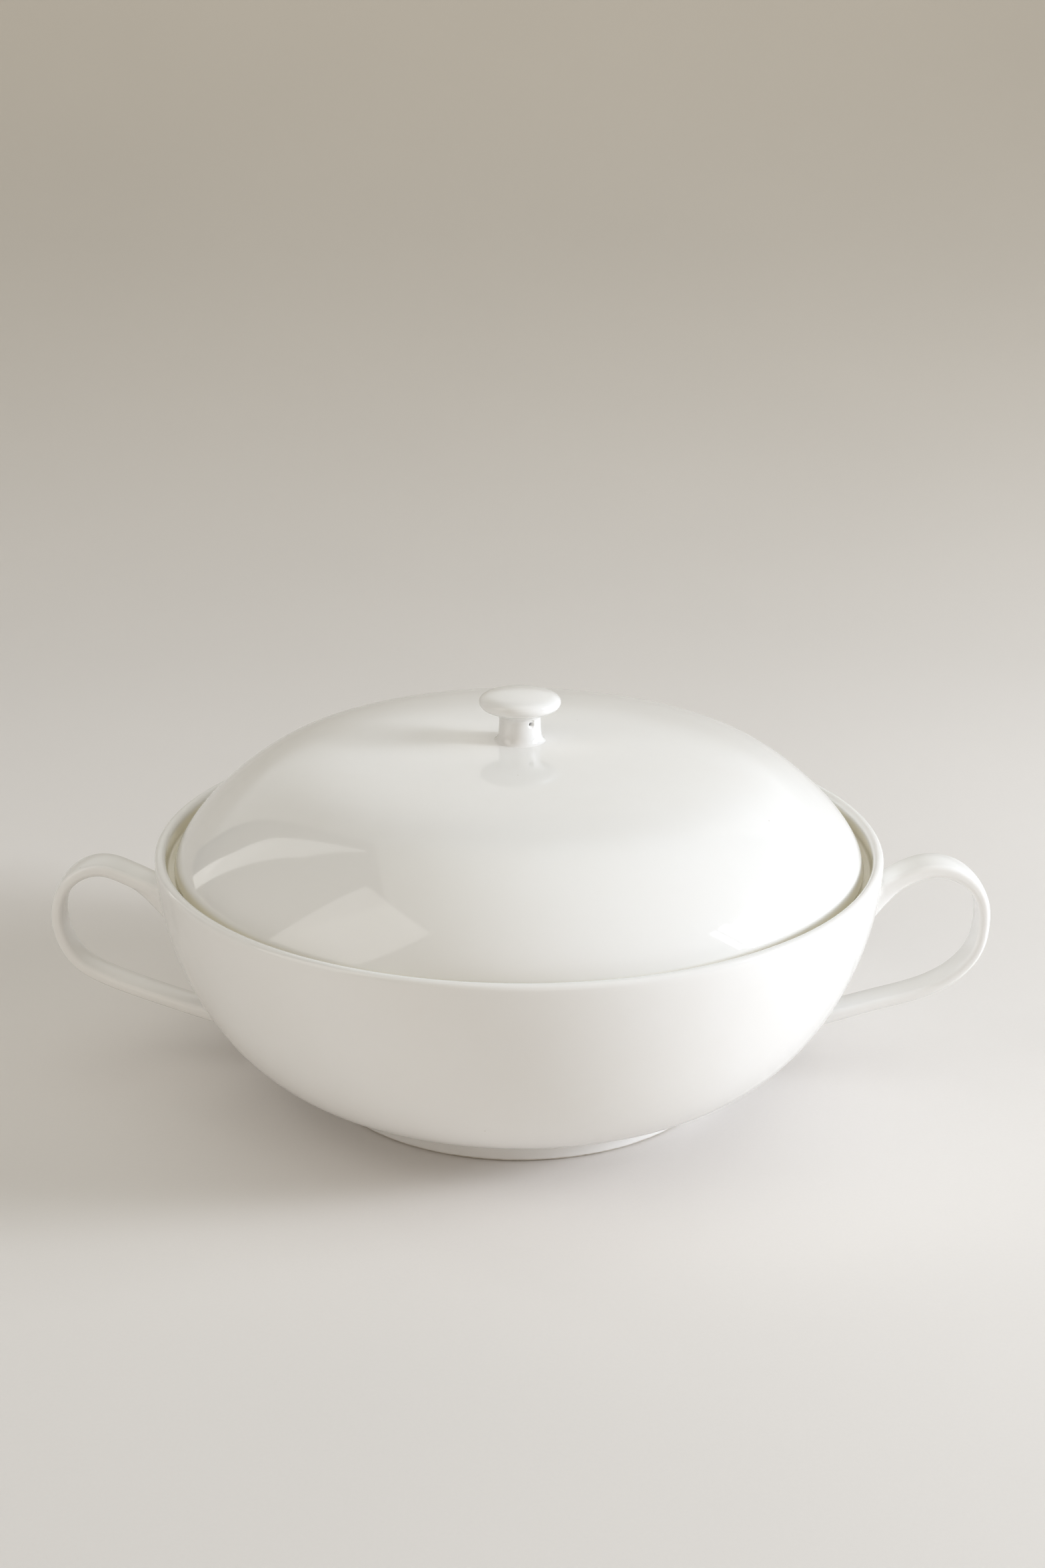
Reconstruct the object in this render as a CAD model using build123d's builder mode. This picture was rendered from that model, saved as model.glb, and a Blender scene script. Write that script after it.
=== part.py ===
"""Soup tureen: a footed china bowl with two strap handles and a lift-off domed lid.

Millimetres, +Z up. The origin is on the bowl's axis, in the plane that the foot stands on.
The handles lie along X, left at -X and right at +X.
"""
import os
from math import cos, radians, sin

from build123d import *

# Bowl
RIM_RADIUS = 130.0
RIM_HEIGHT = 91.5
LIP_THICKNESS = 3.8
FLOOR = 4.6
FLOOR_RADIUS = 76.0

# Foot ring
FOOT_RADIUS = 73.8
FOOT_HEIGHT = 10.3
FOOT_WIDTH = 6.4
FOOT_EDGE = 1.4
FOOT_SLOPE = 2.4

# Sunken ledge that the lid rests on
LEDGE_DEPTH = 7.1
LEDGE_INNER_RADIUS = 115.5
LEDGE_THICKNESS = 3.4
LEDGE_ROUNDING = 1.2

# Lid
LID_GAP = 0.3
LID_RADIUS = 123.4
LID_APEX = 128.0
LID_WALL = 3.6
LID_EDGE_RADIUS = 1.3
SEAT_WIDTH = 4.8

# Flange under the lid
FLANGE_CLEARANCE = 1.6
FLANGE_THICKNESS = 3.2
FLANGE_DROP = 7.5
FLANGE_RISE = 15.8
FLANGE_EDGE_RADIUS = 1.4

# Knob
KNOB_RADIUS = 14.5
KNOB_TOP = 145.8
KNOB_WALL = 4.0
STEM_RADIUS = 7.4
STEM_WALL = 3.0
STEM_SPREAD = 2.2
VENT_DIAMETER = 1.9
VENT_HEIGHT = 135.5
VENT_ANGLE = -56.0

# Handles
STRAP_WIDTH = 13.4
STRAP_EDGE_RADIUS = 1.2

LEDGE_Z = RIM_HEIGHT - LEDGE_DEPTH
LEDGE_UNDERSIDE = LEDGE_Z - LEDGE_THICKNESS
LIP_RADIUS = LIP_THICKNESS / 2
LIP_START = RIM_HEIGHT - LIP_RADIUS
RECESS_RADIUS = RIM_RADIUS - LIP_THICKNESS
FLOOR_Z = FOOT_HEIGHT + FLOOR
FOOT_INNER_RADIUS = FOOT_RADIUS - FOOT_WIDTH
LID_BOTTOM = LEDGE_Z + LID_GAP
LID_CEILING = LID_APEX - LID_WALL
SEAT_RADIUS = LID_RADIUS - SEAT_WIDTH
FLANGE_RADIUS = LEDGE_INNER_RADIUS - FLANGE_CLEARANCE
FLANGE_INNER_RADIUS = FLANGE_RADIUS - FLANGE_THICKNESS
FLANGE_BOTTOM = LEDGE_Z - FLANGE_DROP
STEM_BORE = STEM_RADIUS - STEM_WALL
STEM_FOOT_Z = LID_APEX - 1.0
STEM_NECK_Z = KNOB_TOP - 10.0
HOLLOW_SHOULDER_Z = KNOB_TOP - 7.2

# Shape points, as (distance from the axis, height)
BOWL_BELLY = ((109.6, FOOT_HEIGHT), (RIM_RADIUS, 58.7))
WALL_TOP = (124.4, 74.0)
LEDGE_CORBEL = ((120.5, 80.0), (124.9, 77.5))
INNER_BELLY = ((120.3, 49.7), (102.5, FLOOR_Z))
LID_CROWN = ((46.0, LID_APEX), (73.4, 127.5))
LID_TURN = (90.0, 119.8)
LID_FALL = ((103.3, 113.6), (121.0, 96.3))
LID_SHOULDER = (122.8, 88.0)
LID_INNER_FALL = ((SEAT_RADIUS, 94.0), (101.0, 110.7))
LID_INNER_TURN = (88.5, 116.5)
LID_INNER_CROWN = ((72.7, 123.9), (46.0, LID_CEILING))
KNOB_CROWN_END = (KNOB_RADIUS - 3.2, KNOB_TOP - 0.9)
KNOB_EDGE_MIDDLE = (KNOB_RADIUS, KNOB_TOP - 3.6)
KNOB_EDGE_END = (KNOB_RADIUS - 2.4, KNOB_TOP - 6.2)

# Side view of each handle's strap, as (distance from the axis, height). The outer line runs from the upper
# root over the loop to the lower root. The inner line comes back to the long tip of the upper root.
# Both ends lie inside the bowl's wall, which trims them.
LEFT_OUTER = [(126, 69.5), (138, 77.2), (151, 81.8), (162.5, 78.0), (169.3, 68.0), (170.2, 58.0),
              (165.6, 45.0), (153.5, 35.2), (134.5, 28.2), (117, 21.4), (105, 17.6), (94, 17.0)]
LEFT_INNER = [(104, 27.5), (121, 26.7), (138.4, 32.9), (155, 41.2), (164.0, 50.5), (166.1, 60.0),
              (161.8, 71.0), (151, 77.3), (139, 74.2), (133, 67.0), (129, 58.0), (118, 45.0)]
RIGHT_OUTER = [(126, 71.5), (138, 79.3), (152, 83.4), (164, 79.2), (170.4, 69.5), (171.3, 58.0),
               (167.0, 44.5), (154.5, 33.2), (134.5, 26.6), (117, 21.0), (105, 17.6), (94, 17.0)]
RIGHT_INNER = [(104, 27.7), (121, 26.8), (138.4, 31.7), (155, 38.9), (165.0, 48.6), (167.4, 60.0),
               (163.4, 72.2), (152, 78.2), (140, 75.9), (133.2, 68.2), (128, 60.0), (118, 50.0)]

# Bowl: a cast wall that springs flat from the foot and ends upright in a round lip.
with BuildPart() as bowl:
    with BuildSketch(Plane.XZ):
        with BuildLine():
            Line((0, FOOT_HEIGHT), (FOOT_RADIUS, FOOT_HEIGHT))
            Bezier((FOOT_RADIUS, FOOT_HEIGHT), *BOWL_BELLY, (RIM_RADIUS, LIP_START))
            ThreePointArc((RIM_RADIUS, LIP_START), (RIM_RADIUS - LIP_RADIUS, RIM_HEIGHT),
                          (RECESS_RADIUS, LIP_START))
            Line((RECESS_RADIUS, LIP_START), (RECESS_RADIUS, LEDGE_Z))
            Line((RECESS_RADIUS, LEDGE_Z), (LEDGE_INNER_RADIUS, LEDGE_Z))
            Line((LEDGE_INNER_RADIUS, LEDGE_Z), (LEDGE_INNER_RADIUS, LEDGE_UNDERSIDE))
            Bezier((LEDGE_INNER_RADIUS, LEDGE_UNDERSIDE), *LEDGE_CORBEL, WALL_TOP)
            Bezier(WALL_TOP, *INNER_BELLY, (FLOOR_RADIUS, FLOOR_Z))
            Line((FLOOR_RADIUS, FLOOR_Z), (0, FLOOR_Z))
            Line((0, FLOOR_Z), (0, FOOT_HEIGHT))
        make_face()
    revolve(axis=Axis.Z)
    ledge_edges = bowl.edges().filter_by(GeomType.CIRCLE).filter_by_position(
        Axis.Z, LEDGE_Z - 0.01, LEDGE_Z + 0.01)
    fillet(ledge_edges, radius=LEDGE_ROUNDING)
bowl.part.label = "bowl"

# Foot ring: an upright outer wall, a sloping inner wall and a narrow standing edge, meeting the bowl flat.
with BuildPart() as foot_ring:
    with BuildSketch(Plane.XZ):
        with BuildLine():
            Line((FOOT_RADIUS, FOOT_HEIGHT), (FOOT_RADIUS, FOOT_EDGE))
            TangentArc((FOOT_RADIUS, FOOT_EDGE), (FOOT_RADIUS - FOOT_EDGE, 0), tangent=(0, -1))
            Line((FOOT_RADIUS - FOOT_EDGE, 0), (FOOT_INNER_RADIUS + FOOT_EDGE, 0))
            TangentArc((FOOT_INNER_RADIUS + FOOT_EDGE, 0), (FOOT_INNER_RADIUS, FOOT_EDGE), tangent=(-1, 0))
            Line((FOOT_INNER_RADIUS, FOOT_EDGE), (FOOT_INNER_RADIUS - FOOT_SLOPE, FOOT_HEIGHT))
            Line((FOOT_INNER_RADIUS - FOOT_SLOPE, FOOT_HEIGHT), (FOOT_RADIUS, FOOT_HEIGHT))
        make_face()
    revolve(axis=Axis.Z)
foot_ring.part.label = "foot_ring"

# Lid: a flat crown that turns down over a round shoulder and ends in a narrow flat rim on the ledge.
with BuildPart() as lid:
    with BuildSketch(Plane.XZ):
        with BuildLine():
            Bezier((0, LID_APEX), *LID_CROWN, LID_TURN)
            Bezier(LID_TURN, *LID_FALL, LID_SHOULDER)
            Line(LID_SHOULDER, (LID_RADIUS, LID_BOTTOM))
            Line((LID_RADIUS, LID_BOTTOM), (SEAT_RADIUS, LID_BOTTOM))
            Bezier((SEAT_RADIUS, LID_BOTTOM), *LID_INNER_FALL, LID_INNER_TURN)
            Bezier(LID_INNER_TURN, *LID_INNER_CROWN, (0, LID_CEILING))
            Line((0, LID_CEILING), (0, LID_APEX))
        make_face()
    revolve(axis=Axis.Z)
    rim_edges = lid.edges().filter_by(GeomType.CIRCLE).sort_by(Axis.Z)[:2].sort_by(SortBy.RADIUS)
    fillet(rim_edges[-1], radius=LID_EDGE_RADIUS)
lid.part.label = "lid"

# Lid flange: a ring stuck under the lid's edge that drops inside the ledge and keeps the lid centred.
# It is drawn past the lid's inner face, and the lid trims its top.
with BuildPart() as lid_flange:
    with BuildSketch(Plane.XZ):
        with BuildLine():
            Polyline((FLANGE_RADIUS, FLANGE_BOTTOM), (FLANGE_RADIUS, LID_BOTTOM), (SEAT_RADIUS, LID_BOTTOM),
                     (SEAT_RADIUS + 1, LID_BOTTOM + 4), (FLANGE_INNER_RADIUS, LID_BOTTOM + FLANGE_RISE),
                     (FLANGE_INNER_RADIUS, FLANGE_BOTTOM), (FLANGE_RADIUS, FLANGE_BOTTOM))
        make_face()
    revolve(axis=Axis.Z)
    add(lid.part, mode=Mode.SUBTRACT)
    fillet(lid_flange.edges().group_by(Axis.Z)[0], radius=FLANGE_EDGE_RADIUS)
lid_flange.part.label = "lid_flange"

# Knob: a hollow button on a waisted stem, stuck on the lid's apex, with a vent hole through the stem.
with BuildPart() as knob:
    with BuildSketch(Plane.XZ):
        with BuildLine():
            TangentArc((0, KNOB_TOP), KNOB_CROWN_END, tangent=(1, 0))
            ThreePointArc(KNOB_CROWN_END, KNOB_EDGE_MIDDLE, KNOB_EDGE_END)
            Bezier(KNOB_EDGE_END, (KNOB_RADIUS - 4.7, KNOB_TOP - 7.2), (STEM_RADIUS, KNOB_TOP - 7.4),
                   (STEM_RADIUS, STEM_NECK_Z))
            Bezier((STEM_RADIUS, STEM_NECK_Z), (STEM_RADIUS, LID_APEX + 1.6),
                   (STEM_RADIUS + 0.7, LID_APEX + 0.5), (STEM_RADIUS + STEM_SPREAD, STEM_FOOT_Z))
            Line((STEM_RADIUS + STEM_SPREAD, STEM_FOOT_Z), (STEM_BORE, STEM_FOOT_Z))
            Line((STEM_BORE, STEM_FOOT_Z), (STEM_BORE, HOLLOW_SHOULDER_Z))
            TangentArc((0, KNOB_TOP - KNOB_WALL), (STEM_BORE, HOLLOW_SHOULDER_Z), tangent=(1, 0))
            Line((0, KNOB_TOP - KNOB_WALL), (0, KNOB_TOP))
        make_face()
    revolve(axis=Axis.Z)
    add(lid.part, mode=Mode.SUBTRACT)
    vent_direction = Vector(cos(radians(VENT_ANGLE)), sin(radians(VENT_ANGLE)), 0)
    vent_mouth = Plane(origin=vent_direction * KNOB_RADIUS + Vector(0, 0, VENT_HEIGHT), z_dir=vent_direction)
    with Locations(vent_mouth):
        Hole(radius=VENT_DIAMETER / 2, depth=KNOB_RADIUS)
knob.part.label = "knob"


def strap_handle(label, side, outer, inner):
    """A flat strap bent into a loop and stuck on the bowl; side is -1 for left and +1 for right."""
    with BuildPart() as handle:
        with BuildSketch(Plane.XZ):
            with BuildLine():
                outer_line = Spline(*[(side * r, z) for r, z in outer])
                inner_line = Spline(*[(side * r, z) for r, z in inner])
                Line(outer_line @ 1, inner_line @ 0)
                Line(inner_line @ 1, outer_line @ 0)
            make_face()
        extrude(amount=STRAP_WIDTH / 2, both=True)
        side_faces = handle.faces().filter_by(Axis.Y)
        fillet(side_faces.edges().filter_by(GeomType.BSPLINE), radius=STRAP_EDGE_RADIUS)
        add(bowl.part, mode=Mode.SUBTRACT)
    handle.part.label = label
    return handle.part


left_handle = strap_handle("left_handle", -1, LEFT_OUTER, LEFT_INNER)
right_handle = strap_handle("right_handle", 1, RIGHT_OUTER, RIGHT_INNER)

os.makedirs("parts", exist_ok=True)
for piece in (bowl.part, foot_ring.part, left_handle, right_handle, lid.part, lid_flange.part, knob.part):
    export_step(piece, f"parts/{piece.label}.step")
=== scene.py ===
"""Looks for the soup tureen: white glazed china on a pale sweep, lit by a window on the right.

Metres, in the frame of the CAD model: +Z up, -Y towards the viewer, handles along X.
"""
import math

import bpy
import numpy as np
from mathutils import Euler, Matrix, Vector


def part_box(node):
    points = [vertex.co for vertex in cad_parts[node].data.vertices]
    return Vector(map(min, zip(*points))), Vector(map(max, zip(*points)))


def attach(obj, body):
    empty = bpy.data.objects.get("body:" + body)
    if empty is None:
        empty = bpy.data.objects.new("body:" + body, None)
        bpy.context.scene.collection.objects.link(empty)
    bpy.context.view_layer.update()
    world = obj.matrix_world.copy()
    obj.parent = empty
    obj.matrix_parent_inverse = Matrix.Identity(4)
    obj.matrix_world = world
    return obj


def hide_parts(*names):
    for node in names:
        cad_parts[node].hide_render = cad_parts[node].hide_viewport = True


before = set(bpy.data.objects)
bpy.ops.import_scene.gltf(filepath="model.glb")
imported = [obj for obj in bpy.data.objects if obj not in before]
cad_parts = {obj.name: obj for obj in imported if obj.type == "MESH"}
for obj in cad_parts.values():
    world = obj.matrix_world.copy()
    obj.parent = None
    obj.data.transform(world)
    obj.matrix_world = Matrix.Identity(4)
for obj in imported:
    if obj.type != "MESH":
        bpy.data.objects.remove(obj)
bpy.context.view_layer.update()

MM = 0.001
SEGMENTS = 256

# ---------------------------------------------------------------- sizes from the frame

bowl_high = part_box("bowl")[1]
foot_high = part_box("foot_ring")[1]
lid_low, lid_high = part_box("lid")
flange_low, flange_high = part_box("lid_flange")
knob_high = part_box("knob")[1]
RIM_RADIUS = bowl_high.x
RIM_HEIGHT = bowl_high.z
FOOT_RADIUS = foot_high.x
FOOT_HEIGHT = foot_high.z
LID_BOTTOM = lid_low.z
LID_APEX = lid_high.z
FLANGE_BOTTOM = flange_low.z
KNOB_RADIUS = knob_high.x
KNOB_TOP = knob_high.z

# Bowl
LIP_RADIUS = 1.9 * MM
FLOOR_Z = FOOT_HEIGHT + 4.6 * MM
FLOOR_RADIUS = 76.0 * MM
UNDERSIDE_RISE = 0.8 * MM
LEDGE_Z = LID_BOTTOM - 0.3 * MM
LEDGE_RADIUS = 115.5 * MM
LEDGE_THICKNESS = 3.4 * MM
LEDGE_ROUNDING = 1.2 * MM
WALL_TOP = (124.4 * MM, 74.0 * MM)
BOWL_BELLY = ((109.6 * MM, FOOT_HEIGHT), (RIM_RADIUS, 58.7 * MM))
INNER_BELLY = ((120.3 * MM, 49.7 * MM), (102.5 * MM, FLOOR_Z))

# Foot ring
FOOT_WIDTH = 6.4 * MM
FOOT_EDGE = 1.4 * MM
FOOT_SLOPE = 2.4 * MM
FOOT_COVE = 1.6 * MM
FOOT_SINK = 1.6 * MM
BARE_HEIGHT = 0.9 * MM

# Lid, whose crown turns down into its shoulder at LID_TURN
LID_RADIUS = 123.3 * MM
LID_WALL = 3.6 * MM
LID_EDGE = 1.3 * MM
SEAT_RADIUS = 118.6 * MM
LID_CEILING = LID_APEX - LID_WALL
LID_CROWN = ((46.0 * MM, LID_APEX), (73.4 * MM, 127.5 * MM))
LID_TURN = (90.0 * MM, 119.8 * MM)
LID_FALL = ((103.3 * MM, 113.6 * MM), (121.0 * MM, 96.3 * MM))
LID_SHOULDER = (122.7 * MM, 88.0 * MM)
LID_INNER_FALL = ((SEAT_RADIUS, 94.0 * MM), (101.0 * MM, 110.7 * MM))
LID_INNER_TURN = (88.5 * MM, 116.5 * MM)
LID_INNER_CROWN = ((72.7 * MM, 123.9 * MM), (46.0 * MM, LID_CEILING))

# Flange under the lid
FLANGE_RADIUS = 113.9 * MM
FLANGE_WALL = 3.2 * MM
FLANGE_EDGE = 1.5 * MM
FLANGE_TOP = LID_BOTTOM + 9.5 * MM
FLANGE_COVE_START = 93.0 * MM
FLANGE_COVE_END = (106.6 * MM, 104.2 * MM)
FLANGE_SUNK_INNER = (108.0 * MM, 105.0 * MM)
FLANGE_SUNK_OUTER = (FLANGE_RADIUS + 0.6 * MM, 97.6 * MM)

# Knob
STEM_RADIUS = 7.4 * MM
STEM_SPREAD = 2.6 * MM
STEM_BORE = 4.4 * MM
KNOB_SINK = 1.6 * MM
KNOB_WALL = 4.0 * MM
VENT_RADIUS = 0.95 * MM
VENT_NARROWING = 0.6
VENT_SPREAD = 1.75
VENT_HEIGHT = 135.5 * MM
VENT_ANGLE = -56.0


# ---------------------------------------------------------------- outlines

def line(start, end, count):
    """Points on a straight line, without its start."""
    share = np.linspace(0, 1, count + 1)[1:, None]
    return np.array(start) + share * (np.array(end) - np.array(start))


def bezier(points, count):
    """Points on a cubic Bezier curve, without its start."""
    t = np.linspace(0, 1, count + 1)[1:, None]
    a, b, c, d = (np.array(p) for p in points)
    return (1 - t) ** 3 * a + 3 * (1 - t) ** 2 * t * b + 3 * (1 - t) * t ** 2 * c + t ** 3 * d


def arc(centre, radius, start, end, count):
    """Points on a circular arc from angle start to angle end, in degrees, without its start."""
    angle = np.radians(np.linspace(start, end, count + 1)[1:])
    return np.array(centre) + radius * np.column_stack([np.cos(angle), np.sin(angle)])


def bowl_wall(count):
    """The bowl's outer face, from the foot to the lip."""
    return bezier([(FOOT_RADIUS, FOOT_HEIGHT), *BOWL_BELLY, (RIM_RADIUS, RIM_HEIGHT - LIP_RADIUS)], count)


def lid_face(count):
    """The lid's outer face, from the apex over the turn of its crown to just above its edge."""
    return np.vstack([
        bezier([(0, LID_APEX), *LID_CROWN, LID_TURN], count),
        bezier([LID_TURN, *LID_FALL, LID_SHOULDER], count),
    ])


def lid_ceiling(count):
    """The lid's inner face, from the seat to the middle."""
    return np.vstack([
        bezier([(SEAT_RADIUS, LID_BOTTOM), *LID_INNER_FALL, LID_INNER_TURN], count),
        bezier([LID_INNER_TURN, *LID_INNER_CROWN, (0, LID_CEILING)], count),
    ])


def bowl_outline():
    """Half section of the bowl, from the middle of its underside round to the middle of its floor."""
    recess = RIM_RADIUS - 2 * LIP_RADIUS
    lip_start = RIM_HEIGHT - LIP_RADIUS
    under = LEDGE_Z - LEDGE_THICKNESS
    under_middle = FOOT_HEIGHT + UNDERSIDE_RISE
    corner = recess - LEDGE_ROUNDING
    edge = LEDGE_RADIUS + LEDGE_ROUNDING
    return np.vstack([
        [(0, under_middle)],
        bezier([(0, under_middle), (25 * MM, under_middle), (50 * MM, FOOT_HEIGHT),
                (FOOT_RADIUS, FOOT_HEIGHT)], 16),
        bowl_wall(72),
        arc((RIM_RADIUS - LIP_RADIUS, lip_start), LIP_RADIUS, 0, 180, 18),
        line((recess, lip_start), (recess, LEDGE_Z + LEDGE_ROUNDING), 4),
        arc((corner, LEDGE_Z + LEDGE_ROUNDING), LEDGE_ROUNDING, 0, -90, 6),
        line((corner, LEDGE_Z), (edge, LEDGE_Z), 6),
        arc((edge, LEDGE_Z - LEDGE_ROUNDING), LEDGE_ROUNDING, 90, 180, 6),
        line((LEDGE_RADIUS, LEDGE_Z - LEDGE_ROUNDING), (LEDGE_RADIUS, under + 0.6 * MM), 2),
        bezier([(LEDGE_RADIUS, under + 0.6 * MM), (LEDGE_RADIUS, under - 0.8 * MM),
                (124.9 * MM, 77.5 * MM), WALL_TOP], 14),
        bezier([WALL_TOP, *INNER_BELLY, (FLOOR_RADIUS, FLOOR_Z)], 48),
        line((FLOOR_RADIUS, FLOOR_Z), (0, FLOOR_Z), 16),
    ])


def foot_outline():
    """Section of the foot ring, a closed ring that runs down its outside and up its inside.

    Coves join it to the bowl's underside, and its top is sunk into the bowl."""
    inner = FOOT_RADIUS - FOOT_WIDTH
    inner_top = inner - FOOT_SLOPE
    sunk = FOOT_HEIGHT + FOOT_SINK
    outer_cove = FOOT_RADIUS + FOOT_COVE
    return np.vstack([
        line((inner_top - FOOT_COVE, sunk), (outer_cove, sunk), 8),
        line((outer_cove, sunk), (outer_cove, FOOT_HEIGHT + 0.02 * MM), 2),
        arc((outer_cove, FOOT_HEIGHT - FOOT_COVE), FOOT_COVE, 90, 180, 8),
        line((FOOT_RADIUS, FOOT_HEIGHT - FOOT_COVE), (FOOT_RADIUS, FOOT_EDGE), 10),
        arc((FOOT_RADIUS - FOOT_EDGE, FOOT_EDGE), FOOT_EDGE, 0, -90, 8),
        line((FOOT_RADIUS - FOOT_EDGE, 0), (inner + FOOT_EDGE, 0), 4),
        arc((inner + FOOT_EDGE, FOOT_EDGE), FOOT_EDGE, -90, -180, 8),
        bezier([(inner, FOOT_EDGE), (inner - 0.8 * MM, FOOT_HEIGHT * 0.5),
                (inner_top, FOOT_HEIGHT * 0.85), (inner_top - FOOT_COVE, FOOT_HEIGHT + 0.1 * MM)], 12),
        line((inner_top - FOOT_COVE, FOOT_HEIGHT + 0.1 * MM), (inner_top - FOOT_COVE, sunk), 2),
    ])


def lid_outline():
    """Half section of the lid, from its apex round its edge to the middle of its ceiling."""
    return np.vstack([
        [(0, LID_APEX)],
        lid_face(48),
        line(LID_SHOULDER, (LID_RADIUS, LID_BOTTOM + LID_EDGE), 4),
        arc((LID_RADIUS - LID_EDGE, LID_BOTTOM + LID_EDGE), LID_EDGE, 0, -90, 8),
        line((LID_RADIUS - LID_EDGE, LID_BOTTOM), (SEAT_RADIUS, LID_BOTTOM), 5),
        lid_ceiling(34),
    ])


def flange_outline():
    """Section of the ring under the lid, with its top sunk into the lid and coves on both sides."""
    inner = FLANGE_RADIUS - FLANGE_WALL
    edge_z = FLANGE_BOTTOM + FLANGE_EDGE
    return np.vstack([
        line((FLANGE_RADIUS, FLANGE_TOP), (FLANGE_RADIUS, edge_z), 12),
        arc((FLANGE_RADIUS - FLANGE_EDGE, edge_z), FLANGE_EDGE, 0, -90, 8),
        arc((inner + FLANGE_EDGE, edge_z), FLANGE_EDGE, -90, -180, 8),
        line((inner, edge_z), (inner, FLANGE_COVE_START), 10),
        bezier([(inner, FLANGE_COVE_START), (inner, 98.6 * MM), (108.8 * MM, 101.6 * MM),
                FLANGE_COVE_END], 10),
        line(FLANGE_COVE_END, FLANGE_SUNK_INNER, 2),
        line(FLANGE_SUNK_INNER, FLANGE_SUNK_OUTER, 8),
        line(FLANGE_SUNK_OUTER, (FLANGE_RADIUS, FLANGE_TOP), 2),
    ])


def knob_outline():
    """Half section of the hollow knob, from the middle of its crown to the middle of its hollow."""
    crown_end = (KNOB_RADIUS - 3.2 * MM, KNOB_TOP - 0.9 * MM)
    widest = (KNOB_RADIUS, KNOB_TOP - 3.6 * MM)
    edge_end = (KNOB_RADIUS - 2.4 * MM, KNOB_TOP - 6.2 * MM)
    neck = (STEM_RADIUS, KNOB_TOP - 10.0 * MM)
    spread = (STEM_RADIUS + STEM_SPREAD, LID_APEX - 0.25 * MM)
    sunk = LID_APEX - KNOB_SINK
    bore_top = (STEM_BORE, KNOB_TOP - 7.2 * MM)
    hollow_top = KNOB_TOP - KNOB_WALL
    return np.vstack([
        [(0, KNOB_TOP)],
        bezier([(0, KNOB_TOP), (5.0 * MM, KNOB_TOP), (8.4 * MM, KNOB_TOP - 0.32 * MM), crown_end], 16),
        bezier([crown_end, (KNOB_RADIUS - 1.1 * MM, KNOB_TOP - 1.4 * MM),
                (KNOB_RADIUS, KNOB_TOP - 2.4 * MM), widest], 12),
        bezier([widest, (KNOB_RADIUS, KNOB_TOP - 4.9 * MM),
                (KNOB_RADIUS - 1.0 * MM, KNOB_TOP - 5.75 * MM), edge_end], 12),
        bezier([edge_end, (KNOB_RADIUS - 4.7 * MM, KNOB_TOP - 7.0 * MM),
                (STEM_RADIUS, KNOB_TOP - 7.4 * MM), neck], 16),
        bezier([neck, (STEM_RADIUS, LID_APEX + 2.2 * MM),
                (STEM_RADIUS + 0.4 * MM, LID_APEX + 0.1 * MM), spread], 24),
        line(spread, (STEM_RADIUS + STEM_SPREAD, sunk), 2),
        line((STEM_RADIUS + STEM_SPREAD, sunk), (STEM_BORE, sunk), 5),
        line((STEM_BORE, sunk), bore_top, 16),
        bezier([bore_top, (STEM_BORE, KNOB_TOP - 5.2 * MM), (3.0 * MM, hollow_top),
                (0, hollow_top)], 12),
    ])


# ---------------------------------------------------------------- meshes

def piece(name, points, faces, material):
    """A new smooth object from the points and faces of a closed mesh, with its normals turned outwards."""
    made = surface(name, points, faces, material)
    made.data.validate()
    if signed_volume(made.data) < 0:
        made.data.flip_normals()
    return made


def surface(name, points, faces, material):
    """A new smooth object from points and faces."""
    mesh = bpy.data.meshes.new(name)
    mesh.from_pydata([tuple(p) for p in points], [], faces)
    mesh.polygons.foreach_set("use_smooth", [True] * len(mesh.polygons))
    mesh.materials.append(material)
    made = bpy.data.objects.new(name, mesh)
    bpy.context.scene.collection.objects.link(made)
    return made


def signed_volume(mesh):
    """Six times the volume inside a closed mesh, negative if its faces point inwards."""
    mesh.calc_loop_triangles()
    corners = np.empty(len(mesh.loop_triangles) * 3, np.int32)
    mesh.loop_triangles.foreach_get("vertices", corners)
    points = np.empty(len(mesh.vertices) * 3)
    mesh.vertices.foreach_get("co", points)
    a, b, c = points.reshape(-1, 3)[corners.reshape(-1, 3)].transpose(1, 0, 2)
    return float(np.einsum("ij,ij->", a, np.cross(b, c)))


def band(low, high, count):
    """Faces between two rings of the same number of points, given their first indices."""
    return [(low + k, low + (k + 1) % count, high + (k + 1) % count, high + k) for k in range(count)]


def fan(pole, first, count, closing=False):
    """Faces from a pole to the ring of points that starts at first; closing turns them the other way."""
    faces = [(pole, first + (k + 1) % count, first + k) for k in range(count)]
    return [face[::-1] for face in faces] if closing else faces


def revolve(name, outline, material, ring=False):
    """An outline turned on the bowl's axis. It starts and ends on the axis, or is a closed ring."""
    angle = np.linspace(0, 2 * math.pi, SEGMENTS, endpoint=False)
    turned = outline if ring else outline[1:-1]
    points = [(r * math.cos(a), r * math.sin(a), z) for r, z in turned for a in angle]
    faces = []
    for row in range(len(turned) - 1):
        faces += band(row * SEGMENTS, (row + 1) * SEGMENTS, SEGMENTS)
    last = (len(turned) - 1) * SEGMENTS
    if ring:
        faces += band(last, 0, SEGMENTS)
    else:
        faces += fan(len(points), 0, SEGMENTS)
        faces += fan(len(points) + 1, last, SEGMENTS, closing=True)
        points += [(0, 0, outline[0][1]), (0, 0, outline[-1][1])]
    return piece(name, points, faces, material)


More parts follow.
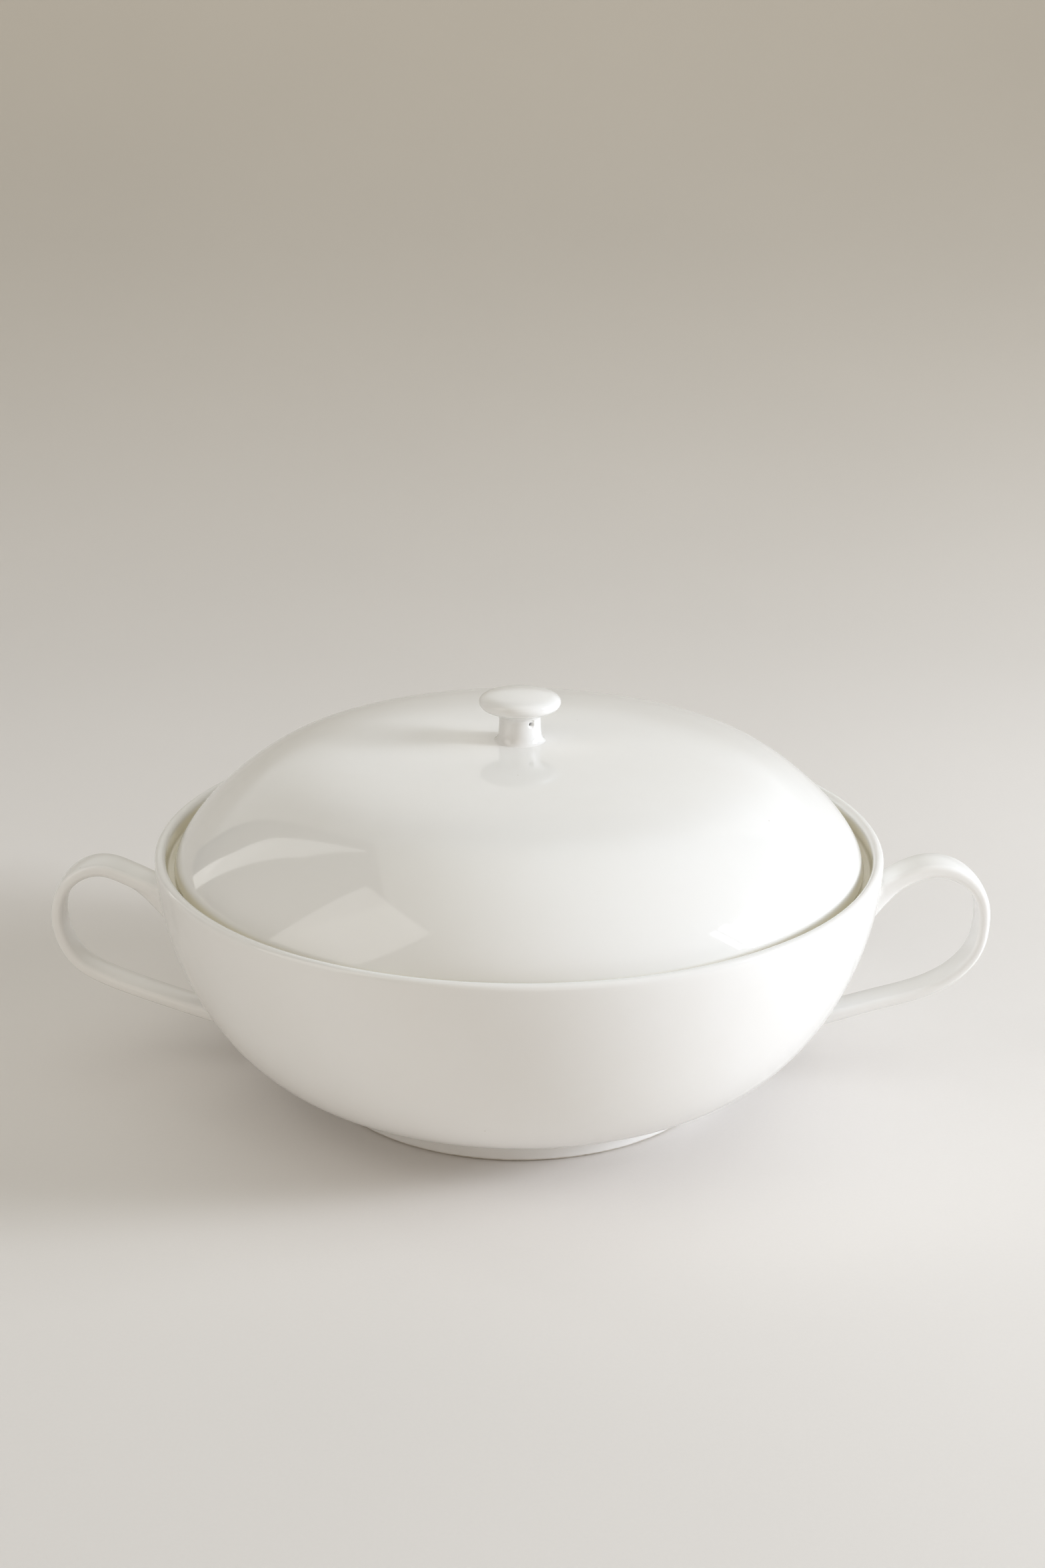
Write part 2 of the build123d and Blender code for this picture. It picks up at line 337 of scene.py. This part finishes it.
def smooth_line(points, count):
    """Points on a natural cubic spline through the given ones, at even distances."""
    points = np.array(points, float)
    chord = np.concatenate([[0], np.cumsum(np.linalg.norm(np.diff(points, axis=0), axis=1))])
    gap = np.diff(chord)
    size = len(points)
    matrix = np.eye(size)
    right = np.zeros_like(points)
    for i in range(1, size - 1):
        matrix[i, i - 1: i + 2] = gap[i - 1], 2 * (gap[i - 1] + gap[i]), gap[i]
        right[i] = 6 * ((points[i + 1] - points[i]) / gap[i] - (points[i] - points[i - 1]) / gap[i - 1])
    bend = np.linalg.solve(matrix, right)
    at = np.linspace(0, chord[-1], count)
    i = np.clip(np.searchsorted(chord, at) - 1, 0, size - 2)
    ahead = (chord[i + 1] - at)[:, None]
    behind = (at - chord[i])[:, None]
    width = gap[i][:, None]
    return ((bend[i] * ahead ** 3 + bend[i + 1] * behind ** 3) / (6 * width)
            + (points[i] / width - bend[i] * width / 6) * ahead
            + (points[i + 1] / width - bend[i + 1] * width / 6) * behind)


# ---------------------------------------------------------------- strap handles

STRAP_ROUNDING = 1.8 * MM
ROUNDEST = 0.86
STRAP_CROWN = 0.35 * MM
SPINE_ROWS = 481
STRAP_ROWS = 110
ROOT_ROWS = 26
TONGUE_TAPER = 0.3
LANDING_DEPTH = 0.08 * MM
FLARE_STEP = 0.2 * MM
ROOT_SINK = ((1.0, 0.6 * MM), (0.8, 1.3 * MM), (0.4, 1.3 * MM))

WALL = bowl_wall(400)
WALL_LENGTH = np.concatenate([[0], np.cumsum(np.linalg.norm(np.diff(WALL, axis=0), axis=1))])


def on_wall(across, along, depth):
    """Points on the bowl's outer face, given their Y and their distance up the wall, sunk by depth."""
    radius = np.interp(along, WALL_LENGTH, WALL[:, 0])
    height = np.interp(along, WALL_LENGTH, WALL[:, 1])
    slope_r = np.interp(along, WALL_LENGTH, np.gradient(WALL[:, 0], WALL_LENGTH))
    slope_z = np.interp(along, WALL_LENGTH, np.gradient(WALL[:, 1], WALL_LENGTH))
    radius = radius - depth * slope_z
    height = height + depth * slope_r
    out = np.sqrt(np.maximum(radius ** 2 - across ** 2, 0))
    return np.stack([out, across + 0 * radius, height], axis=-1)


def strap_section(per_corner=7, per_face=9, per_side=3):
    """The strap's section as a core rectangle with rounded corners, point by point from its outer one.

    Returns each point's place on the core rectangle (-1 to 1 across and through), the direction of its
    rounding, and its angle if the points were spread evenly round the section."""
    core, out = [], []
    corners = ((1, 1), (-1, 1), (-1, -1), (1, -1))
    for number, (across, through) in enumerate(corners):
        start = math.radians(number * 90)
        for angle in np.linspace(start, start + math.pi / 2, per_corner):
            core.append((across, through))
            out.append((math.cos(angle), math.sin(angle)))
        ahead = corners[(number + 1) % 4]
        for share in np.linspace(0, 1, (per_side if number % 2 else per_face) + 2)[1:-1]:
            core.append((across + share * (ahead[0] - across), through + share * (ahead[1] - through)))
            out.append((math.cos(start + math.pi / 2), math.sin(start + math.pi / 2)))
    top_middle = per_corner + per_face // 2
    around = math.pi / 2 + (np.arange(len(core)) - top_middle) * 2 * math.pi / len(core)
    return np.array(core), np.array(out), around


def strap_handle(name, side, route, widths, thicknesses, flares, material):
    """A flat strap bent into a loop whose two ends spread onto the bowl's wall.

    side is -1 for left and 1 for right. The route is the strap's centre line as (radius, height), from
    inside the wall at the upper root to inside the wall at the lower root. Widths and thicknesses are
    given at even shares of the route. flares holds a flare and its pulls for the upper root and for the
    lower one, as root() takes them."""
    core, out, around = strap_section()
    spine = smooth_line(route, SPINE_ROWS)
    share = np.linspace(0, 1, len(spine))
    tangent = np.gradient(spine, axis=0)
    tangent /= np.linalg.norm(tangent, axis=1)[:, None]
    normal = np.column_stack([-tangent[:, 1], tangent[:, 0]])
    half_width = smooth_share(widths, share) / 2
    half_thick = smooth_share(thicknesses, share) / 2
    rounding = np.minimum(STRAP_ROUNDING, half_thick * ROUNDEST)
    across = core[None, :, 0] * (half_width - rounding)[:, None] + out[None, :, 0] * rounding[:, None]
    crown = STRAP_CROWN * (1 - core[:, 0] ** 2) * core[:, 1]
    through = (core[None, :, 1] * (half_thick - rounding)[:, None] + out[None, :, 1] * rounding[:, None]
               + crown[None, :])
    radial = spine[:, 0, None] + through * normal[:, 0, None]
    height = spine[:, 1, None] + through * normal[:, 1, None]
    strip = np.stack([radial, across, height], axis=-1)

    clear = np.hypot(strip[..., 0], strip[..., 1]) - np.interp(strip[..., 2], WALL[:, 1], WALL[:, 0])
    upper = root(strip, clear, around, *flares[0], 1)
    lower = root(strip[::-1], clear[::-1], around, *flares[1], -1)
    first, last = upper[1], len(strip) - 1 - lower[1]
    middle = strip[np.linspace(first, last, STRAP_ROWS).round().astype(int)]
    rows = np.concatenate([upper[0][::-1], middle[1:-1], lower[0]])
    rows[..., 0] *= side
    count = rows.shape[1]
    points = rows.reshape(-1, 3).tolist()
    faces = []
    for row in range(len(rows) - 1):
        faces += band(row * count, (row + 1) * count, count)
    faces += fan(len(points), 0, count)
    faces += fan(len(points) + 1, (len(rows) - 1) * count, count, closing=True)
    points += [rows[0].mean(axis=0).tolist(), rows[-1].mean(axis=0).tolist()]
    return piece(name, points, faces, material)


def smooth_share(values, share):
    """Values given at even shares, read smoothly at any share."""
    spots = np.column_stack([np.linspace(0, 1, len(values)), values])
    fine = smooth_line(spots, 200)
    return np.interp(share, fine[:, 0], fine[:, 1])


def root(strip, clear, around, flare, pulls, up):
    """Rows of points from the strap's regular section to the wall, with the sunk rows that close it.

    The flare is (top, side, bottom, start at the sides, start below): how far the root spreads on the
    wall, and how far out it starts to. Its pulls say how long it keeps to the strap and then to the wall.
    up is 1 where the loop's outer face looks up the wall, and -1 where it looks down it. The footprint
    on the wall is oval above the strap and a tapering tongue below it."""
    top, at_side, bottom, start_side, start_bottom = flare
    entry = np.argmin(clear < 0, axis=0)
    step = np.linalg.norm(np.diff(strip.mean(axis=1), axis=0), axis=1).mean()
    hits = strip[entry, np.arange(strip.shape[1])]
    hit_along = np.interp(hits[:, 2], WALL[:, 1], WALL_LENGTH)
    centre = (hit_along.max() + hit_along.min()) / 2
    half = (hit_along.max() - hit_along.min()) / 2
    below = np.clip(-up * np.sin(around), 0, 1)
    above = np.clip(up * np.sin(around), 0, 1)
    foot_across = (hits[:, 1].max() + at_side) * np.cos(around) * (1 - TONGUE_TAPER * below)
    foot_along = centre - (half + bottom) * below + (half + top) * above
    start = start_side + (start_bottom - start_side) * below ** 1.5
    begin = entry + np.ceil(start / step).astype(int)
    common = int(begin.max()) + 2
    lines = []
    for k in range(strip.shape[1]):
        reach = math.hypot(foot_across[k] - hits[k, 1], foot_along[k] - hit_along[k])
        back = FLARE_STEP / reach
        foot = on_wall(foot_across[k], foot_along[k], LANDING_DEPTH)
        before = on_wall(foot_across[k] + (hits[k, 1] - foot_across[k]) * back,
                         foot_along[k] + (hit_along[k] - foot_along[k]) * back, LANDING_DEPTH)
        landing = (foot - before) / np.linalg.norm(foot - before)
        leave = strip[begin[k], k]
        heading = strip[begin[k] - 2, k] - strip[begin[k] + 2, k]
        heading /= np.linalg.norm(heading)
        turn = bezier([leave, leave + heading * start[k] * pulls[0],
                       foot - landing * reach * pulls[1], foot], 60)
        lines.append(evenly(np.vstack([strip[common:begin[k]:-1, k], [leave], turn]), ROOT_ROWS))
    rows = np.stack(lines, axis=1)
    middle = foot_along.mean()
    sunk = [on_wall(foot_across * shrink, middle + (foot_along - middle) * shrink, depth)
            for shrink, depth in ROOT_SINK]
    return np.concatenate([rows, np.array(sunk)]), common


def evenly(points, count):
    """The same line with its points at even distances."""
    length = np.concatenate([[0], np.cumsum(np.linalg.norm(np.diff(points, axis=0), axis=1))])
    at = np.linspace(0, length[-1], count)
    return np.column_stack([np.interp(at, length, points[:, axis]) for axis in range(points.shape[1])])


# ---------------------------------------------------------------- materials

PALE_CHINA = (0.91, 0.905, 0.89)
WARM_CHINA = (0.895, 0.885, 0.862)
# Painted shade: the duller, yellower tint in the gap where the lid sits in the rim
SEAT_GAP_SHADE = (0.91, 0.87, 0.745)
SPECK_COLOUR = (0.42, 0.36, 0.28)
BARE_CLAY = [(0.3, (0.52, 0.46, 0.38)), (0.55, (0.74, 0.7, 0.63)), (0.8, (0.8, 0.77, 0.71))]
GLAZE_IOR = 1.52

# Where the painted shade in the gap of the lid's seat fades in and out: by radius, and by height
SEAT_INSIDE = (121.6 * MM, 122.8 * MM)
SEAT_OUTSIDE = (126.4 * MM, 127.0 * MM)
SEAT_BELOW = (78.0 * MM, 80.0 * MM)
SEAT_ABOVE = (88.0 * MM, 89.6 * MM)

# Where the paper's painted shade and light change: painted shade from its front to its back, and painted
# light up its rise
PAPER_SHADE_BACK = (0.2, 1.75)
PAPER_LIGHT_RISE = (0.42, 0.8)


def node_adder(tree):
    """A function that adds a node to the tree, with its inputs linked or set."""
    def add(kind, inputs=None, **settings):
        node = tree.nodes.new(kind)
        for key, value in settings.items():
            setattr(node, key, value)
        for key, value in (inputs or {}).items():
            if isinstance(value, bpy.types.NodeSocket):
                tree.links.new(value, node.inputs[key])
            else:
                node.inputs[key].default_value = value
        return node

    return add


def new_material(name):
    """A new material, with its node tree, its Principled shader and a function that adds a node."""
    material = bpy.data.materials.new(name)
    material.use_nodes = True
    tree = material.node_tree
    return material, tree, tree.nodes["Principled BSDF"], node_adder(tree)


def fade(add, value, span, low=0.0, high=1.0, **settings):
    """A value that goes from low to high while another one crosses a span."""
    node = add("ShaderNodeMapRange", {"Value": value, "From Min": span[0], "From Max": span[1],
                                      "To Min": low, "To Max": high}, **settings)
    return node.outputs["Result"]


def times(add, first, second):
    """The product of two numbers."""
    return add("ShaderNodeMath", {0: first, 1: second}, operation="MULTIPLY").outputs[0]


def blend(add, share, first, second):
    """A mix of two colours; at share 1 it is the second."""
    return add("ShaderNodeMix", {0: share, 6: first, 7: second}, data_type="RGBA").outputs[2]


def ramp(add, factor, stops):
    """A colour ramp over factor, from (position, colour) stops."""
    node = add("ShaderNodeValToRGB", {"Fac": factor})
    elements = node.color_ramp.elements
    for element, (position, colour) in zip(elements, (stops[0], stops[-1])):
        element.position = position
        element.color = (*colour, 1)
    for position, colour in stops[1:-1]:
        elements.new(position).color = (*colour, 1)
    return node


def glaze_into(tree, shader, add):
    """White china under clear glaze: cloudy tone, rare pin specks, faint pooling waves and a soft gloss.

    Returns the place, colour and roughness sockets, for a material that goes on from them."""
    place = add("ShaderNodeTexCoord").outputs["Object"]
    cloud = add("ShaderNodeTexNoise", {"Vector": place, "Scale": 13.0, "Detail": 4.0, "Roughness": 0.6})
    tone = ramp(add, cloud.outputs["Fac"], [(0.35, WARM_CHINA), (0.65, PALE_CHINA)])
    pits = add("ShaderNodeTexVoronoi", {"Vector": place, "Scale": 95.0, "Randomness": 1.0})
    speck = fade(add, pits.outputs["Distance"], (0.018, 0.034), 1.0, 0.0, interpolation_type="SMOOTHSTEP")
    chance = add("ShaderNodeSeparateColor", {"Color": pits.outputs["Color"]})
    rare = add("ShaderNodeMath", {0: chance.outputs["Red"], 1: 0.9}, operation="GREATER_THAN")
    faint = times(add, times(add, speck, rare.outputs[0]), 0.35)
    colour = blend(add, faint, tone.outputs["Color"], (*SPECK_COLOUR, 1))
    smear = add("ShaderNodeTexNoise", {"Vector": place, "Scale": 42.0, "Detail": 5.0, "Roughness": 0.65})
    gloss = fade(add, smear.outputs["Fac"], (0.3, 0.75), 0.045, 0.085)
    wave = add("ShaderNodeTexNoise", {"Vector": place, "Scale": 34.0, "Detail": 2.0, "Roughness": 0.4})
    skin = add("ShaderNodeTexNoise", {"Vector": place, "Scale": 620.0, "Detail": 2.0})
    pooled = add("ShaderNodeBump", {"Height": wave.outputs["Fac"], "Strength": 1.0, "Distance": 0.05 * MM})
    peel = add("ShaderNodeBump", {"Height": skin.outputs["Fac"], "Strength": 1.0,
                                  "Distance": 0.0012 * MM, "Normal": pooled.outputs["Normal"]})
    tree.links.new(peel.outputs["Normal"], shader.inputs["Normal"])
    shader.inputs["IOR"].default_value = GLAZE_IOR
    return place, colour, gloss


def china_glaze():
    """Glazed bone china, with painted shade: a duller, yellower tint in the gap where the lid sits in the
    rim.
    """
    material, tree, shader, add = new_material("china_glaze")
    place, colour, gloss = glaze_into(tree, shader, add)
    flat = add("ShaderNodeVectorMath", {0: place, 1: (1, 1, 0)}, operation="MULTIPLY")
    radius = add("ShaderNodeVectorMath", {0: flat.outputs["Vector"]}, operation="LENGTH").outputs["Value"]
    height = add("ShaderNodeSeparateXYZ", {"Vector": place}).outputs["Z"]
    ring = times(add, fade(add, radius, SEAT_INSIDE), fade(add, radius, SEAT_OUTSIDE, 1.0, 0.0))
    belt = times(add, fade(add, height, SEAT_ABOVE, 1.0, 0.0), fade(add, height, SEAT_BELOW))
    # Painted shade: a duller, yellower tint over the gap between the lid and the rim
    gap_shaded = blend(add, times(add, ring, belt), colour, (*SEAT_GAP_SHADE, 1))
    tree.links.new(gap_shaded, shader.inputs["Base Color"])
    tree.links.new(gloss, shader.inputs["Roughness"])
    return material


def foot_china():
    """The same glaze on the foot ring's walls, wiped off its standing edge, which is bare and worn."""
    material, tree, shader, add = new_material("foot_china")
    place, colour, gloss = glaze_into(tree, shader, add)
    height = add("ShaderNodeSeparateXYZ", {"Vector": place}).outputs["Z"]
    ragged = add("ShaderNodeTexNoise", {"Vector": place, "Scale": 160.0, "Detail": 3.0})
    shift = add("ShaderNodeMath", {0: ragged.outputs["Fac"], 1: 0.5 * MM, 2: -0.25 * MM},
                operation="MULTIPLY_ADD")
    uneven = add("ShaderNodeMath", {0: height, 1: shift.outputs[0]}, operation="ADD")
    glazing = fade(add, uneven.outputs[0], (BARE_HEIGHT - 0.12 * MM, BARE_HEIGHT + 0.12 * MM),
                   interpolation_type="SMOOTHSTEP")
    grime = add("ShaderNodeTexNoise", {"Vector": place, "Scale": 240.0, "Detail": 6.0, "Roughness": 0.7})
    bare = ramp(add, grime.outputs["Fac"], BARE_CLAY)
    rough = add("ShaderNodeMix", {0: glazing, 2: 0.62, 3: gloss}, data_type="FLOAT")
    tree.links.new(blend(add, glazing, bare.outputs["Color"], colour), shader.inputs["Base Color"])
    tree.links.new(rough.outputs[0], shader.inputs["Roughness"])
    return material


def paper(near, far_shade, high):
    """Matt seamless paper under and behind the tureen, with painted shade that makes it duller and warmer
    low at the back, and painted light that makes it paler above.
    """
    material, tree, shader, add = new_material("paper_sweep")
    place = add("ShaderNodeTexCoord").outputs["Object"]
    fibre = add("ShaderNodeTexNoise", {"Vector": place, "Scale": 900.0, "Detail": 4.0})
    broad = add("ShaderNodeTexNoise", {"Vector": place, "Scale": 3.0, "Detail": 2.0})
    fine = fade(add, fibre.outputs["Fac"], (0.0, 1.0), 0.985, 1.015)
    cloudy = fade(add, broad.outputs["Fac"], (0.0, 1.0), 0.97, 1.03)
    spot = add("ShaderNodeSeparateXYZ", {"Vector": place})
    # Painted shade darkens the floor towards its back; painted light makes the rise paler
    back = fade(add, spot.outputs["Y"], PAPER_SHADE_BACK, interpolation_type="SMOOTHSTEP")
    up = fade(add, spot.outputs["Z"], PAPER_LIGHT_RISE, interpolation_type="SMOOTHSTEP")
    shaded_floor_tone = ramp(add, back, [(0.0, near), (1.0, far_shade)])
    tone = blend(add, up, shaded_floor_tone.outputs["Color"], (*high, 1))
    mixed = add("ShaderNodeVectorMath", {0: tone, "Scale": times(add, fine, cloudy)}, operation="SCALE")
    tree.links.new(mixed.outputs["Vector"], shader.inputs["Base Color"])
    shader.inputs["Roughness"].default_value = 0.85
    return material


def dark_screen():
    """The matt dark of the screens that stand for the unlit parts of the room."""
    material, _, shader, _ = new_material("dark_screen")
    shader.inputs["Base Color"].default_value = (0.05, 0.045, 0.04, 1)
    shader.inputs["Roughness"].default_value = 0.9
    return material


# ---------------------------------------------------------------- pieces of the tureen

glazed = china_glaze()
foot_glazed = foot_china()


def cut_vent(knob):
    """Bores the vent hole, with a softened mouth, through the stem's wall into the hollow."""
    mouth = STEM_RADIUS
    inside = mouth - 5 * MM
    outside = mouth + 1 * MM
    narrow = VENT_RADIUS * VENT_NARROWING
    wide = VENT_RADIUS * VENT_SPREAD
    drill = [(0, inside), (narrow, inside), (narrow, mouth - 1.1 * MM),
             (narrow * 1.12, mouth - 0.75 * MM), (narrow * 1.45, mouth - 0.4 * MM),
             (VENT_RADIUS * 1.2, mouth - 0.16 * MM), (wide, mouth + 0.03 * MM),
             (wide, outside), (0, outside)]
    cutter = revolve("vent_cutter", np.array(drill), knob.data.materials[0])
    turn = Euler((0, math.radians(90), math.radians(VENT_ANGLE)), "XYZ").to_matrix().to_4x4()
    cutter.data.transform(Matrix.Translation((0, 0, VENT_HEIGHT)) @ turn)
    boolean = knob.modifiers.new("vent", "BOOLEAN")
    boolean.operation = "DIFFERENCE"
    boolean.solver = "EXACT"
    boolean.object = cutter
    bpy.context.view_layer.update()
    cut = bpy.data.meshes.new_from_object(knob.evaluated_get(bpy.context.evaluated_depsgraph_get()))
    knob.modifiers.clear()
    knob.data = cut
    bpy.data.objects.remove(cutter)
    cut.polygons.foreach_set("use_smooth", [True] * len(cut.polygons))


bowl = revolve("tureen_bowl", bowl_outline(), glazed)
foot = revolve("tureen_foot_ring", foot_outline(), foot_glazed, ring=True)
lid = revolve("tureen_lid", lid_outline(), glazed)
flange = revolve("tureen_lid_flange", flange_outline(), glazed, ring=True)
knob = revolve("tureen_knob", knob_outline(), glazed)
cut_vent(knob)

# Straps, in millimetres. A route's points are (distance from the axis, height).
LEFT_ROUTE = [(126.5, 67.6), (133.5, 72.4), (141.5, 76.5), (150.7, 79.6), (158.5, 77.8), (164.8, 71.8),
              (167.7, 62.0), (166.5, 52.4), (161.3, 43.2), (151.0, 36.4), (138.0, 31.0), (125.0, 26.2),
              (112.0, 22.0), (98.0, 19.0)]
RIGHT_ROUTE = [(126.5, 69.6), (134.5, 74.7), (142.1, 78.9), (150.8, 80.8), (157.5, 79.4), (163.8, 75.1),
               (167.9, 68.5), (169.0, 60.5), (167.3, 49.4), (162.4, 41.9), (152.5, 34.6), (141.5, 30.4),
               (131.2, 27.5), (122.6, 24.9), (112.0, 21.9), (98.0, 19.0)]
STRAP_WIDTHS = [14.4, 14.4, 14.2, 13.8, 13.2, 12.8, 12.6, 12.5, 12.5, 12.5]
LEFT_THICKNESSES = [5.0, 4.8, 4.5, 4.2, 4.1, 4.1, 4.2, 4.2, 4.9, 6.6]
RIGHT_THICKNESSES = [5.4, 5.3, 5.0, 4.4, 3.9, 3.9, 4.1, 4.2, 4.9, 6.6]
UPPER_FLARE = (3.5, 3.0, 32.0, 4.0, 21.0)
UPPER_PULLS = (0.68, 0.12)
LOWER_FLARE = (3.0, 3.5, 12.0, 4.0, 10.0)
LOWER_PULLS = (0.4, 0.3)


def in_metres(values):
    """Millimetres to metres, for a list of numbers or points."""
    return np.array(values) * MM


flares = ((in_metres(UPPER_FLARE), UPPER_PULLS), (in_metres(LOWER_FLARE), LOWER_PULLS))
left_handle = strap_handle("tureen_left_handle", -1, in_metres(LEFT_ROUTE), in_metres(STRAP_WIDTHS),
                           in_metres(LEFT_THICKNESSES), flares, glazed)
right_handle = strap_handle("tureen_right_handle", 1, in_metres(RIGHT_ROUTE), in_metres(STRAP_WIDTHS),
                            in_metres(RIGHT_THICKNESSES), flares, glazed)

for made, body, node, slot in (
        (bowl, "tureen", "bowl", "china_glaze"),
        (foot, "tureen", "foot_ring", "foot_china"),
        (left_handle, "tureen", "left_handle", "china_glaze"),
        (right_handle, "tureen", "right_handle", "china_glaze"),
        (lid, "cover", "lid", "china_glaze"),
        (flange, "cover", "lid_flange", "china_glaze"),
        (knob, "cover", "knob", "china_glaze")):
    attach(made, body)
    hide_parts(node)


# ---------------------------------------------------------------- floor and backdrop

FLOOR_HALF_WIDTH = 3.0
FLOOR_FRONT = -2.5
SWEEP_START = 0.55
SWEEP_RADIUS = 1.9
SWEEP_TOP = 4.2


def sweep(material):
    """A sheet of paper that lies flat under the tureen and curves up behind it."""
    rows = [(FLOOR_FRONT, 0.0), (-1.0, 0.0), (0.0, 0.0), (SWEEP_START, 0.0)]
    for angle in np.radians(np.linspace(0, 90, 33)[1:]):
        rows.append((SWEEP_START + SWEEP_RADIUS * math.sin(angle), SWEEP_RADIUS * (1 - math.cos(angle))))
    rows.append((SWEEP_START + SWEEP_RADIUS, SWEEP_TOP))
    points = [(side * FLOOR_HALF_WIDTH, y, z) for y, z in rows for side in (-1, 1)]
    faces = [(2 * i, 2 * i + 1, 2 * i + 3, 2 * i + 2) for i in range(len(rows) - 1)]
    return surface("sweep", points, faces, material)


# The paper's far colour is painted shade, and its high colour is painted light
sweep(paper(near=(0.805, 0.775, 0.745), far_shade=(0.59, 0.545, 0.475), high=(0.97, 0.97, 0.965)))


# ---------------------------------------------------------------- light

ROOM_DISTANCE = 1.9
WINDOW_DISTANCE = 1.45
GLOW_FADE = 5
DAYLIGHT = (0.9, 0.95, 1.03)
WALL_WHITE = (1.0, 0.98, 0.95)
OVERHEAD = (1.0, 1.01, 0.94)
LEFT_OF_ROOM = (0.3, 0.29, 0.26)
VIEWER_SIDE = (0.9, 0.8, 0.69)


def towards(azimuth, elevation):
    """Unit vector to a place in the room. Azimuth 0 is behind the tureen and 90 is on its right."""
    a, e = math.radians(azimuth), math.radians(elevation)
    return Vector((math.sin(a) * math.cos(e), math.cos(a) * math.cos(e), math.sin(e)))


def spanning(degrees, distance=ROOM_DISTANCE):
    """The width of something that spans an angle at a distance."""
    return 2 * distance * math.tan(math.radians(degrees) / 2)


def face_tureen(made, azimuth, elevation, roll, distance=ROOM_DISTANCE):
    """Puts a lamp or screen in its place in the room, with its front towards the tureen."""
    where = towards(azimuth, elevation)
    made.location = where * distance + Vector((0, 0, RIM_HEIGHT))
    facing = where.to_track_quat("Z", "Y").to_matrix()
    made.rotation_euler = (facing @ Matrix.Rotation(math.radians(roll), 3, "Z")).to_euler()


def lamp(name, width, height, radiance, colour):
    """A soft rectangular light."""
    data = bpy.data.lights.new(name, "AREA")
    data.shape = "RECTANGLE"
    data.size = width
    data.size_y = height
    data.energy = radiance * math.pi * width * height
    data.color = colour
    made = bpy.data.objects.new(name, data)
    bpy.context.scene.collection.objects.link(made)
    return made


def panel(name, azimuth, elevation, wide, high, radiance, colour, roll=0.0, distance=ROOM_DISTANCE):
    """A light that faces the tureen. wide and high are in degrees, as the tureen sees it."""
    made = lamp(name, spanning(wide, distance), spanning(high, distance), radiance, colour)
    face_tureen(made, azimuth, elevation, roll, distance)


def blind(name, azimuth, elevation, wide, high, material, roll=0.0):
    """A dark screen that the glaze reflects and the camera doesn't see, given like a panel."""
    x, y = spanning(wide) / 2, spanning(high) / 2
    made = surface(name, [(-x, -y, 0), (x, -y, 0), (x, y, 0), (-x, y, 0)], [(0, 1, 2, 3)], material)
    face_tureen(made, azimuth, elevation, roll)
    made.visible_camera = False
    return made


def backdrop_wash():
    """A light on the upper backdrop, which hangs above it and shines straight back."""
    made = lamp("backdrop_wash", spanning(62), spanning(20), 1.3, (1.0, 0.98, 0.93))
    made.location = (-0.1, 1.35, 1.6)
    made.rotation_euler = (math.radians(90), 0, 0)


def room(glows):
    """Soft light from all round: a sum of wide glows, each an (azimuth, elevation, colour)."""
    world = bpy.data.worlds.new("room")
    world.use_nodes = True
    tree = world.node_tree
    add = node_adder(tree)
    look = add("ShaderNodeTexCoord").outputs["Generated"]
    total = None
    for azimuth, elevation, colour in glows:
        facing = add("ShaderNodeVectorMath", {0: look, 1: tuple(towards(azimuth, elevation))},
                     operation="DOT_PRODUCT")
        ahead = add("ShaderNodeMath", {0: facing.outputs["Value"], 1: 0}, operation="MAXIMUM")
        strength = add("ShaderNodeMath", {0: ahead.outputs[0], 1: GLOW_FADE}, operation="POWER")
        glow = add("ShaderNodeVectorMath", {0: colour, "Scale": strength.outputs[0]}, operation="SCALE")
        if total is None:
            total = glow.outputs[0]
        else:
            total = add("ShaderNodeVectorMath", {0: total, 1: glow.outputs[0]}, operation="ADD").outputs[0]
    tree.links.new(total, tree.nodes["Background"].inputs["Color"])
    bpy.context.scene.world = world


panel("window_low", 98, 15, 12, 12, 45.0, DAYLIGHT, distance=WINDOW_DISTANCE)
panel("window_main", 90.5, 23, 17, 24, 6.5, DAYLIGHT, distance=WINDOW_DISTANCE)
panel("window_pane_a", 102, 25, 3.5, 24, 4.0, DAYLIGHT)
panel("window_pane_b", 107, 26, 2.5, 22, 4.0, DAYLIGHT)
panel("door_edge", -58, 29, 7.5, 57, 1.1, (1.0, 1.0, 0.98), roll=-11)
panel("side_wall", -113, 33, 33, 50, 1.25, WALL_WHITE)
backdrop_wash()
room([(0, 90, OVERHEAD), (-90, 30, LEFT_OF_ROOM), (180, 15, VIEWER_SIDE)])

dark = dark_screen()
blind("dark_doorway", -79.5, 31, 36, 60, dark)
blind("dark_frame", -50.5, 29, 9, 56, dark, roll=-9)


# ---------------------------------------------------------------- camera

CAMERA_PLACE = (0.0, -0.7353, 0.3680)
CAMERA_PITCH = 19.242
CAMERA_YAW = 0.082
CAMERA_ROLL = 0.277

camera_data = bpy.data.cameras.new("camera")
camera_data.lens = 50
camera_data.sensor_width = 36
camera = bpy.data.objects.new("camera", camera_data)
camera.location = CAMERA_PLACE
camera.rotation_euler = (Matrix.Rotation(math.radians(-CAMERA_YAW), 3, "Z")
                         @ Matrix.Rotation(math.radians(90 - CAMERA_PITCH), 3, "X")
                         @ Matrix.Rotation(math.radians(CAMERA_ROLL), 3, "Z")).to_euler()
bpy.context.scene.collection.objects.link(camera)
bpy.context.scene.camera = camera
bpy.context.scene.view_settings.view_transform = "Standard"
